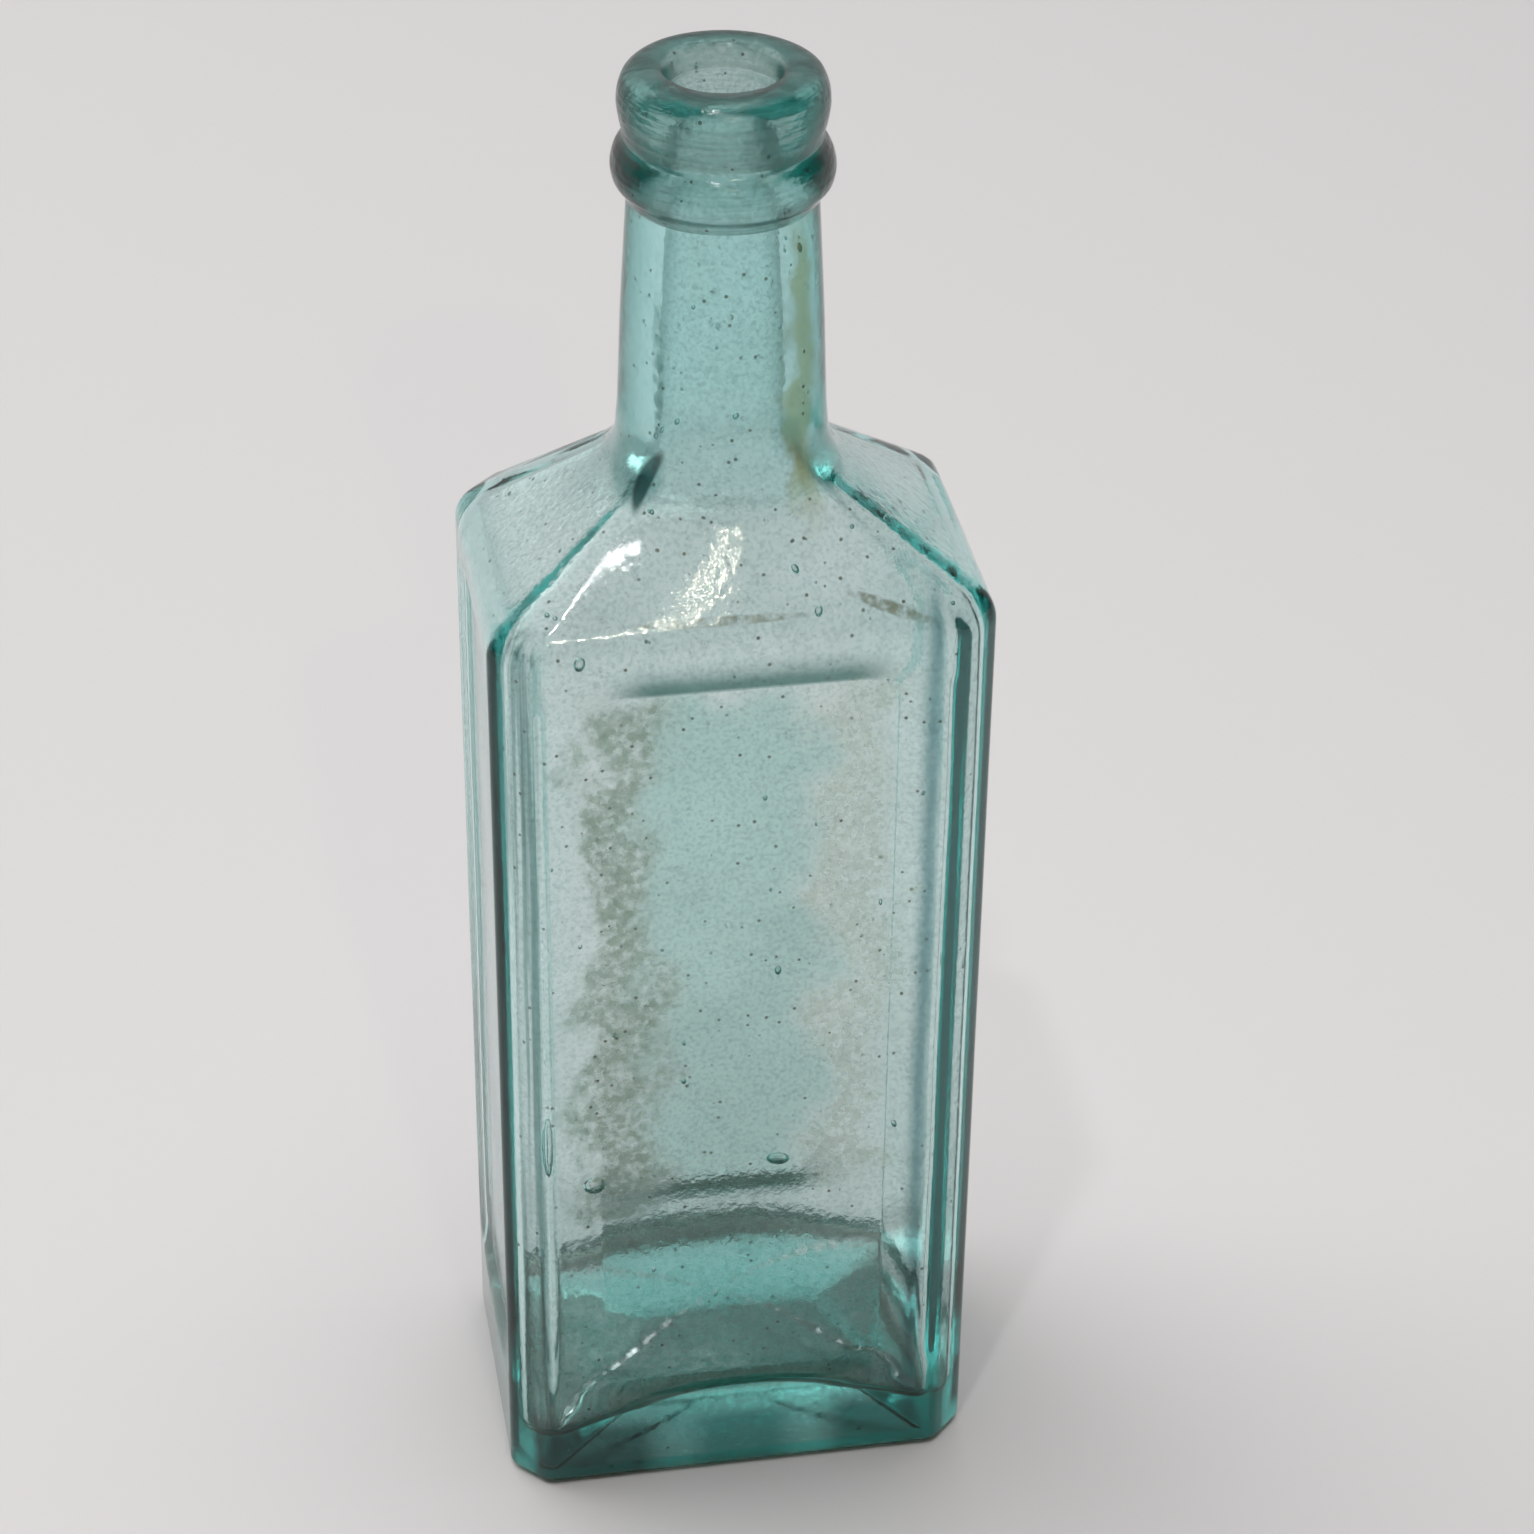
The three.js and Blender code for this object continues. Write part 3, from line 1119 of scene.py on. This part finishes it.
@dataclass(frozen=True)
class Stain:
    """A mark that fills a box of the glass: its spans, its tint and roughness, its edge and its grain."""

    across: Span
    deep: Span
    upward: Span
    tint: Colour
    roughness: float = 0.0
    ragged: float = 0.0
    grain: Grain = Grain.EVEN


@dataclass(frozen=True)
class Blot:
    """An oval mark: its middle and half sizes in metres, its lean in degrees, its tint and its grain."""

    middle: Triple
    half: Triple
    lean: float
    tint: Colour
    roughness: float = 0.1
    grain: Grain = Grain.EVEN
    core: float = 0.6

    def mask(self, canvas: NodeCanvas, place: Source) -> Socket:
        """Masks the oval.

        Args:
            canvas: node tree of the material.
            place: Object coordinates.

        Returns:
            1 in the oval's core and 0 outside it.
        """
        inside = canvas.add("ShaderNodeMapping", vector_type="TEXTURE")
        canvas.feed(inside.inputs["Vector"], place)
        inside.inputs["Location"].default_value = self.middle
        inside.inputs["Rotation"].default_value = (0, math.radians(self.lean), 0)
        inside.inputs["Scale"].default_value = self.half
        size = canvas.add("ShaderNodeVectorMath", operation="LENGTH")
        canvas.feed(size.inputs[0], inside.outputs[0])
        return canvas.ease(size.outputs["Value"], 1.0, self.core)


@dataclass(frozen=True)
class AquaGlass:
    """Clear aqua glass that takes its colour from its depth, with the marks of its age and painted shade
    where it turns away from the eye.
    """

    name: str
    age: bpy.types.NodeTree
    index: float = 1.5
    roughness: float = 0.02
    absorbed_colour: Colour = (0.12, 0.84, 0.81, 1)
    density: float = 47.0
    edge_painted_shade: Colour = (0.12, 0.26, 0.25, 1)
    edge_turn: Pair = (0.8, 0.99)
    grain_tint: Colour = (0.78, 0.82, 0.82, 1)
    film_tint: Colour = (0.92, 0.93, 0.92, 1)
    film_roughness: float = 0.05
    speck_tint: Colour = (0.08, 0.07, 0.05, 1)
    speck_roughness: float = 0.2
    pebble: float = 0.00003

    def marks(self, canvas: NodeCanvas, spot: Spot) -> Iterator[Mark]:
        """Marks of this piece alone."""
        return iter(())

    def height(self, canvas: NodeCanvas, spot: Spot, pebbles: Socket) -> Socket:
        """Height of the surface for the bump."""
        return pebbles

    def material(self) -> bpy.types.Material:
        """Makes the material.

        Returns:
            The glass, whose seam faces let light through unbent.
        """
        material = bpy.data.materials.new(self.name)
        material.use_nodes = True
        canvas = NodeCanvas(material.node_tree)
        shader = material.node_tree.nodes["Principled BSDF"]
        output = material.node_tree.nodes["Material Output"]
        place = canvas.add("ShaderNodeTexCoord").outputs["Object"]
        parts = canvas.add("ShaderNodeSeparateXYZ")
        canvas.feed(parts.inputs[0], place)
        slant = canvas.add("ShaderNodeLayerWeight").outputs["Facing"]
        spot = Spot(place, *parts.outputs, slant)
        age = canvas.add("ShaderNodeGroup", node_tree=self.age)
        canvas.feed(age.inputs["Place"], place)
        seam = canvas.add("ShaderNodeAttribute", attribute_name=SEAM).outputs["Fac"]
        clear = canvas.math("SUBTRACT", 1.0, seam)
        colour: Source = (1, 1, 1, 1)
        roughness: Source = self.roughness
        shared = (
            # Painted shade first: darker where the surface turns away from the eye; then the marks of age
            Mark(canvas.ease(slant, *self.edge_turn), self.edge_painted_shade),
            Mark(age.outputs["Grain"], self.grain_tint),
            Mark(age.outputs["Film"], self.film_tint, self.film_roughness),
            Mark(age.outputs["Speck"], self.speck_tint, self.speck_roughness),
        )
        for mark in (*shared, *self.marks(canvas, spot)):
            share = canvas.math("MULTIPLY", mark.mask, clear)
            colour = canvas.blend(share, colour, mark.tint, "MULTIPLY")
            roughness = canvas.math("MULTIPLY_ADD", share, mark.roughness, roughness)
        bump = canvas.add("ShaderNodeBump")
        bump.inputs["Distance"].default_value = self.pebble
        canvas.feed(bump.inputs["Height"], self.height(canvas, spot, age.outputs["Height"]))
        canvas.feed(shader.inputs["Base Color"], colour)
        canvas.feed(shader.inputs["Roughness"], roughness)
        canvas.feed(shader.inputs["Normal"], bump.outputs["Normal"])
        shader.inputs["Transmission Weight"].default_value = 1.0
        canvas.feed(shader.inputs["IOR"], canvas.math("MULTIPLY_ADD", seam, 1 - self.index, self.index))
        volume = canvas.add("ShaderNodeVolumeAbsorption")
        volume.inputs["Color"].default_value = self.absorbed_colour
        volume.inputs["Density"].default_value = self.density
        canvas.feed(output.inputs["Volume"], volume.outputs[0])
        return material


# Stretches across the bottle's depth and up its height that several stains share
FRONT = Span(-0.03, -0.0155)
FRONT_FACET = Span(-0.03, -0.0188, 0.001, 0.0003)
RIGHT_FACET = Span(-0.03, -0.0178, 0.001, 0.0005)
FRONT_FACE = Span(-0.03, -0.0225)
HEEL = Span(-0.01, 0.0128, 0.001, 0.004)
BACK = Span(0.0225, 0.03)
PANEL = Span(0.05, 0.136, 0.004, 0.004)
WALLS = Span(0.004, 0.147, 0.002, 0.003)
LEDGE = Span(-0.0165, 0.0175, 0.004, 0.004)


@dataclass(frozen=True)
class BodyGlass(AquaGlass):
    """The body's glass: residue on the front wall, painted shade along its corners, ledges, heel and neck,
    stains and scuffs.
    """

    pebbled: Span = Span(0.147, 0.162, 0.002, 0.004)
    pebbled_side: Span = Span(-0.03, -0.0135)
    pebble_gain: float = 2.5
    neck_rise: Pair = (0.152, 0.172)
    neck_tint: Colour = (0.88, 0.96, 0.96, 1)
    neck_turn: Pair = (0.25, 0.85)
    neck_painted_shade: Colour = (0.14, 0.26, 0.25, 1)
    ragged: Cloud = Cloud(110.0, 8.0)
    ragged_reach: float = 0.024
    mottle: Cloud = Cloud(700.0, 7.0, 0.28, 0.66)
    streak: Cloud = Cloud(1.0, 3.0, 0.42, 0.6)
    streak_scale: Triple = (900, 900, 12)
    stains: tuple[Stain, ...] = (
        # Residue at the left and right of the front panel, and the clearer glass between
        Stain(Span(-0.0222, -0.0125, 0.002, 0.003), FRONT, PANEL, (0.44, 0.52, 0.43, 1), 0.3, 1.0,
              Grain.MOTTLE),
        Stain(Span(0.0104, 0.0202, 0.002, 0.002), FRONT, PANEL, (0.93, 0.92, 0.85, 1), 0.3, 1.0,
              Grain.MOTTLE),
        Stain(Span(-0.013, 0.0098, 0.004, 0.004), FRONT, PANEL, (0.69, 0.86, 0.83, 1), 0.0, 1.0),
        # Painted shade along the ledges at the head of the front panel and the foot of the back one
        Stain(LEDGE, FRONT, Span(0.1369, 0.14, 0.0002, 0.0022), (0.2, 0.36, 0.34, 1)),
        Stain(LEDGE, BACK, Span(0.0132, 0.0183, 0.0014, 0.0003), (0.02, 0.08, 0.07, 1)),
        # Painted shade: dark lines on the two front facets, a streaked dark band by the left one, and a soft
        # darker band on the front near its right end
        Stain(Span(-0.036, -0.033, 0.001, 0.0003), FRONT_FACET, WALLS, (0.002, 0.02, 0.019, 1)),
        Stain(Span(0.0324, 0.036, 0.0005, 0.001), RIGHT_FACET, WALLS, (0.004, 0.02, 0.019, 1)),
        Stain(Span(-0.033, -0.0285, 0.0005, 0.0005), FRONT_FACET, WALLS, (0.2, 0.34, 0.33, 1),
              grain=Grain.STREAK),
        Stain(Span(0.0245, 0.0262, 0.0012, 0.0006), FRONT, WALLS, (0.3, 0.45, 0.48, 1), 0.0, 0.05),
        # Brown run down the neck
        Stain(Span(0.0068, 0.0104), Span(-0.02, -0.0015), Span(0.158, 0.198, 0.006, 0.006),
              (0.6, 0.5, 0.26, 1), 0.2, 0.5),
        # Brownish, rougher foot: wear, with its brown a painted contact shade; then painted shade along the
        # front's heel, left, middle and right
        Stain(Span(-0.04, 0.04), Span(-0.03, 0.03), Span(-0.01, 0.0015), (0.62, 0.52, 0.4, 1), 0.2),
        Stain(Span(-0.04, -0.01, 0.001, 0.006), FRONT_FACE, HEEL, (0.012, 0.035, 0.034, 1)),
        Stain(Span(-0.01, 0.01, 0.006, 0.006), FRONT_FACE, HEEL, (0.035, 0.12, 0.115, 1)),
        Stain(Span(0.01, 0.04, 0.006, 0.001), FRONT_FACE, HEEL, (0.01, 0.06, 0.056, 1)),
        # Faint painted shade over the hollow under the base, and dust on the floor inside
        Stain(Span(-0.0292, 0.0292), Span(-0.0196, 0.0196), Span(-0.01, 0.0085), (0.9, 0.97, 0.95, 1)),
        Stain(Span(-0.0285, 0.0285), Span(-0.0192, 0.0192), Span(0.008, 0.017), (0.62, 0.9, 0.84, 1), 0.3,
              grain=Grain.MOTTLE),
    )
    blots: tuple[Blot, ...] = (
        # Painted shade: a dark spindle left of the neck's root, a darker patch at each side of the root, and
        # a dark line up the left of the neck
        Blot((-0.0116, -0.0098, 0.1625), (0.001, 0.007, 0.0058), 27, (0.02, 0.05, 0.05, 1)),
        Blot((-0.0125, -0.007, 0.163), (0.0045, 0.008, 0.006), 20, (0.3, 0.5, 0.48, 1), 0.05),
        Blot((0.0125, -0.007, 0.163), (0.0045, 0.008, 0.006), -20, (0.3, 0.5, 0.48, 1), 0.05),
        Blot((-0.0099, -0.0085, 0.178), (0.0008, 0.005, 0.013), 0, (0.2, 0.34, 0.32, 1), 0.1, Grain.MOTTLE),
        # Brownish stains low on the front shoulder
        Blot((0.0195, -0.0225, 0.1475), (0.0085, 0.004, 0.0009), 20, (0.2, 0.17, 0.1, 1), 0.2, Grain.MOTTLE),
        Blot((-0.004, -0.0228, 0.1478), (0.014, 0.004, 0.0007), 0, (0.25, 0.24, 0.18, 1), 0.2, Grain.MOTTLE),
    )

    def marks(self, canvas: NodeCanvas, spot: Spot) -> Iterator[Mark]:
        """Lays the marks of the body.

        Args:
            canvas: node tree of the material.
            spot: where a point of the surface lies.

        Yields:
            The stains, the blots, the neck's tint and the painted shade at the neck's edges.
        """
        edge = self.ragged.value(canvas, spot.place)
        ragged = canvas.math("MULTIPLY_ADD", edge, self.ragged_reach, -self.ragged_reach / 2)
        grains: dict[Grain, Source] = {
            Grain.EVEN: 1.0,
            Grain.MOTTLE: self.mottle.mask(canvas, spot.place),
            Grain.STREAK: self.streak.mask(canvas, canvas.stretched(spot.place, self.streak_scale)),
        }
        for stain in self.stains:
            mask = stain.across.mask(canvas, canvas.math("MULTIPLY_ADD", ragged, stain.ragged, spot.x))
            rise = stain.upward.mask(canvas, canvas.math("MULTIPLY_ADD", ragged, stain.ragged, spot.z))
            depth = stain.deep.mask(canvas, spot.y)
            mask = canvas.math("MULTIPLY", mask, canvas.math("MULTIPLY", rise, depth))
            yield Mark(canvas.math("MULTIPLY", mask, grains[stain.grain]), stain.tint, stain.roughness)
        for blot in self.blots:
            mask = canvas.math("MULTIPLY", blot.mask(canvas, spot.place), grains[blot.grain])
            yield Mark(mask, blot.tint, blot.roughness)
        neck = canvas.ease(spot.z, *self.neck_rise)
        yield Mark(neck, self.neck_tint)
        # Painted shade at the neck's edges, where the glass turns away from the eye
        yield Mark(canvas.math("MULTIPLY", neck, canvas.ease(spot.slant, *self.neck_turn)), self.neck_painted_shade)

    def height(self, canvas: NodeCanvas, spot: Spot, pebbles: Socket) -> Socket:
        """Pebbles that stand higher on the shoulder, where the mould was coldest."""
        in_front = self.pebbled_side.mask(canvas, spot.y)
        where = canvas.math("MULTIPLY", self.pebbled.mask(canvas, spot.z), in_front)
        return canvas.math("MULTIPLY", pebbles, canvas.math("MULTIPLY_ADD", where, self.pebble_gain, 1.0))


@dataclass(frozen=True)
class LipGlass(AquaGlass):
    """The lip's glass, dulled by handling, with the fine rings that the tool drew round it and painted shade
    at its edges.
    """

    worn_rise: Pair = (0.1985, 0.2035)
    wear: Colour = (0.6, 0.64, 0.62, 1)
    rough_wear: float = 0.12
    pebble: float = 0.00012
    lip_turn: Pair = (0.25, 0.75)
    lip_painted_edge_shade: Colour = (0.04, 0.13, 0.12, 1)
    rings: Cloud = Cloud(1.0, 2.0, 0.48, 0.62)
    ring_scale: Triple = (60, 60, 1600)
    ring_tint: Colour = (0.74, 0.82, 0.8, 1)
    ring_roughness: float = 0.02
    ring_height: float = 0.8
    grime: Cloud = Cloud(1100.0, 4.0, 0.45, 0.6)
    grime_tint: Colour = (0.78, 0.84, 0.82, 1)
    grime_roughness: float = 0.06
    collar: Span = Span(0.199, 0.2062, 0.0006, 0.0006)
    collar_ends: Pair = (0.0055, 0.0125)
    collar_painted_shade: Colour = (0.02, 0.12, 0.11, 1)

    def marks(self, canvas: NodeCanvas, spot: Spot) -> Iterator[Mark]:
        """Lays the marks of the lip.

        Args:
            canvas: node tree of the material.
            spot: where a point of the surface lies.

        Yields:
            The tool's rings, grime, wear, painted shade at the edges, and painted shade at the two ends of
            the collar.
        """
        drawn = canvas.stretched(spot.place, self.ring_scale)
        yield Mark(self.rings.mask(canvas, drawn), self.ring_tint, self.ring_roughness)
        yield Mark(self.grime.mask(canvas, spot.place), self.grime_tint, self.grime_roughness)
        yield Mark(canvas.ease(spot.z, *self.worn_rise), self.wear, self.rough_wear)
        # Painted shade at the lip's edges, where the glass turns away from the eye
        yield Mark(canvas.ease(spot.slant, *self.lip_turn), self.lip_painted_edge_shade)
        # Painted shade at the two ends of the collar
        sideways = canvas.ease(canvas.math("ABSOLUTE", spot.x), *self.collar_ends)
        yield Mark(canvas.math("MULTIPLY", self.collar.mask(canvas, spot.z), sideways), self.collar_painted_shade)

    def height(self, canvas: NodeCanvas, spot: Spot, pebbles: Socket) -> Socket:
        """Pebbles with the tool's rings over them."""
        drawn = self.rings.value(canvas, canvas.stretched(spot.place, self.ring_scale))
        return canvas.math("MULTIPLY_ADD", drawn, self.ring_height, pebbles)


@dataclass(frozen=True)
class Softbox:
    """A square lamp: where it hangs and what it points at in metres, its side, its watts and its colour.

    A lamp that is not mirrored stays out of reflections, so that it leaves no streak on the glass.
    """

    name: str
    place: Triple
    aim: Triple
    side: float
    power: float
    colour: Triple = (1, 1, 1)
    mirrored: bool = False

    def build(self) -> None:
        """Hangs the lamp."""
        data = bpy.data.lights.new(self.name, "AREA")
        data.size = self.side
        data.energy = self.power
        data.color = self.colour
        lamp = bpy.data.objects.new(self.name, data)
        lamp.location = self.place
        lamp.visible_glossy = self.mirrored
        lamp.rotation_euler = (Vector(self.aim) - lamp.location).to_track_quat("-Z", "Y").to_euler()
        bpy.context.scene.collection.objects.link(lamp)


@dataclass(frozen=True)
class Studio:
    """A pale floor under soft light, and the camera at the photograph's angle."""

    floor_size: float = 0.7
    floor_drop: float = 0.0002
    floor_colour: Colour = (0.62, 0.606, 0.61, 1)
    floor_roughness: float = 0.9
    floor_shine: float = 0.1
    backdrop: Colour = (0.66, 0.65, 0.655, 1)
    room: Colour = (0.05, 0.05, 0.05, 1)
    back_wall: Colour = (0.6, 0.575, 0.575, 1)
    wall_turn: Pair = (0.2, 0.6)
    horizon: Pair = (0.02, -0.04)
    lamps: tuple[Softbox, ...] = (
        Softbox("key_softbox", (-1.3, 1.0, 1.5), (0, 0, 0.05), 2.0, 26.5, (1, 0.99, 0.98)),
        Softbox("fill_softbox", (0.1, 0.1, 1.9), (0, 0, 0), 1.6, 24.5),
        Softbox("white_glint", (-0.107, -0.244, 0.702), (-0.017, -0.016, 0.154), 0.022, 0.6, mirrored=True),
        Softbox("warm_glint", (0.006, -0.491, 0.524), (-0.004, -0.019, 0.154), 0.016, 0.3, (1, 0.94, 0.75),
                mirrored=True),
    )
    azimuth: float = -10.247
    elevation: float = 33.362
    distance: float = 575.556
    target: Triple = (6.797, 0, 109.004)
    roll: float = 0.774
    focal_pixels: float = 4078.706
    frame_pixels: int = 1534
    sensor: float = 36.0
    bounces: int = 40
    glass_bounces: int = 36
    mirror_bounces: int = 24

    def floor(self) -> bpy.types.Object:
        """Makes the floor.

        Returns:
            The object, linked to the scene.
        """
        bm = bmesh.new()
        bmesh.ops.create_grid(bm, x_segments=2, y_segments=2, size=self.floor_size,
                              matrix=Matrix.Translation((0, 0, -self.floor_drop)))
        mesh = bpy.data.meshes.new("pale_floor")
        bm.to_mesh(mesh)
        bm.free()
        material = bpy.data.materials.new("pale_floor")
        material.use_nodes = True
        shader = material.node_tree.nodes["Principled BSDF"]
        shader.inputs["Base Color"].default_value = self.floor_colour
        shader.inputs["Roughness"].default_value = self.floor_roughness
        shader.inputs["Specular IOR Level"].default_value = self.floor_shine
        mesh.materials.append(material)
        floor = bpy.data.objects.new("pale_floor", mesh)
        bpy.context.scene.collection.objects.link(floor)
        return floor

    def world(self) -> None:
        """Sets a pale backdrop for the camera, and for the glass a dim room, paler behind and below."""
        world = bpy.data.worlds.new("dim_room")
        bpy.context.scene.world = world
        world.use_nodes = True
        canvas = NodeCanvas(world.node_tree)
        way = canvas.add("ShaderNodeSeparateXYZ")
        canvas.feed(way.inputs[0], canvas.add("ShaderNodeTexCoord").outputs["Generated"])
        behind = canvas.ease(way.outputs["Y"], *self.wall_turn)
        below = canvas.ease(way.outputs["Z"], *self.horizon)
        seen = canvas.add("ShaderNodeLightPath").outputs["Is Camera Ray"]
        around = canvas.blend(canvas.math("MAXIMUM", behind, below), self.room, self.back_wall)
        background = world.node_tree.nodes["Background"]
        canvas.feed(background.inputs["Color"], canvas.blend(seen, around, self.backdrop))

    def camera(self) -> None:
        """Sets the camera where the photograph was taken from."""
        azimuth, elevation, roll = map(math.radians, (self.azimuth, self.elevation, self.roll))
        back = Vector((math.sin(azimuth) * math.cos(elevation), -math.cos(azimuth) * math.cos(elevation),
                       math.sin(elevation)))
        right = (-back).cross(Vector((0, 0, 1))).normalized()
        up = right.cross(-back)
        turned = Matrix.Rotation(roll, 3, back)
        data = bpy.data.cameras.new("photo_camera")
        data.sensor_width = self.sensor
        data.lens = self.sensor * self.focal_pixels / self.frame_pixels
        camera = bpy.data.objects.new("photo_camera", data)
        axes = Matrix((turned @ right, turned @ up, back)).transposed().to_4x4()
        camera.matrix_world = Matrix.Translation((Vector(self.target) + back * self.distance) * MM) @ axes
        bpy.context.scene.collection.objects.link(camera)
        bpy.context.scene.camera = camera

    def light_paths(self) -> None:
        """Lets light pass through all the skins of the glass."""
        cycles = bpy.context.scene.cycles
        cycles.max_bounces = self.bounces
        cycles.transmission_bounces = self.glass_bounces
        cycles.glossy_bounces = self.mirror_bounces

    def build(self) -> None:
        """Sets up the floor, the light and the camera."""
        self.light_paths()
        self.floor()
        self.world()
        for lamp in self.lamps:
            lamp.build()
        self.camera()


def main() -> None:
    """Builds the bottle round the frame and lights it."""
    logging.basicConfig(level=logging.INFO)
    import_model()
    bpy.context.scene.view_settings.view_transform = "Standard"
    body = BottleBody()
    age = GlassAge().group()
    blown_body = body.build(BodyGlass("aqua_glass_body", age).material())
    tooled_lip = AppliedLip(body).build(LipGlass("aqua_glass_lip", age).material())
    for piece, node in ((blown_body, "bottle_body"), (tooled_lip, "applied_lip")):
        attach(piece, "root")
        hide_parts(node)
        LOG.info("%s: %d faces", piece.name, len(piece.data.polygons))
    Studio().build()


if __name__ == "__main__":
    main()
